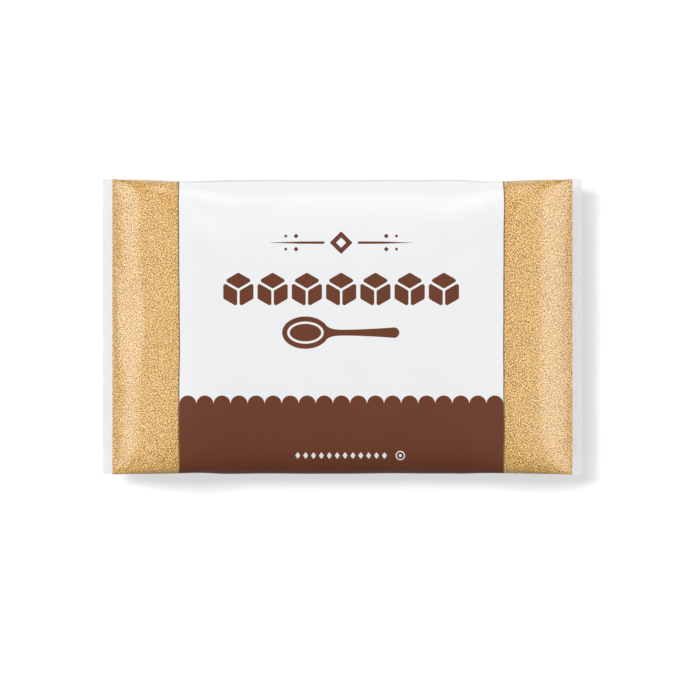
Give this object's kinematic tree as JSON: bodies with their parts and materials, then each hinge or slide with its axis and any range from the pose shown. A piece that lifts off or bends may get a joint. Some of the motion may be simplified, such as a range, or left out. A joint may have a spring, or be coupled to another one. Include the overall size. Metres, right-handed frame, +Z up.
{
  "type": "pouch of brown sugar",
  "caption": "Sealed pillow pouch filled tight with light brown sugar: a clear film tube with a white and brown printed label band round its middle and a flat weld at each end.",
  "frame": {"origin": "middle of the flat spot on the back that the pouch rests on", "axes": "+X along the pouch from one end weld to the other, +Y across it away from the brown edge of the label, +Z up out of the printed face"},
  "size_m": [0.235, 0.145, 0.043],
  "materials": {
    "label_white": "white print on film, soft gloss",
    "label_brown": "brown print on film, soft gloss",
    "clear_film": "clear film, soft gloss",
    "end_weld": "clear film welded double, slightly milky",
    "sugar": "moist fine grains"
  },
  "bodies": {
    "root": {"pouch": "label_white"}
  },
  "joints": []
}
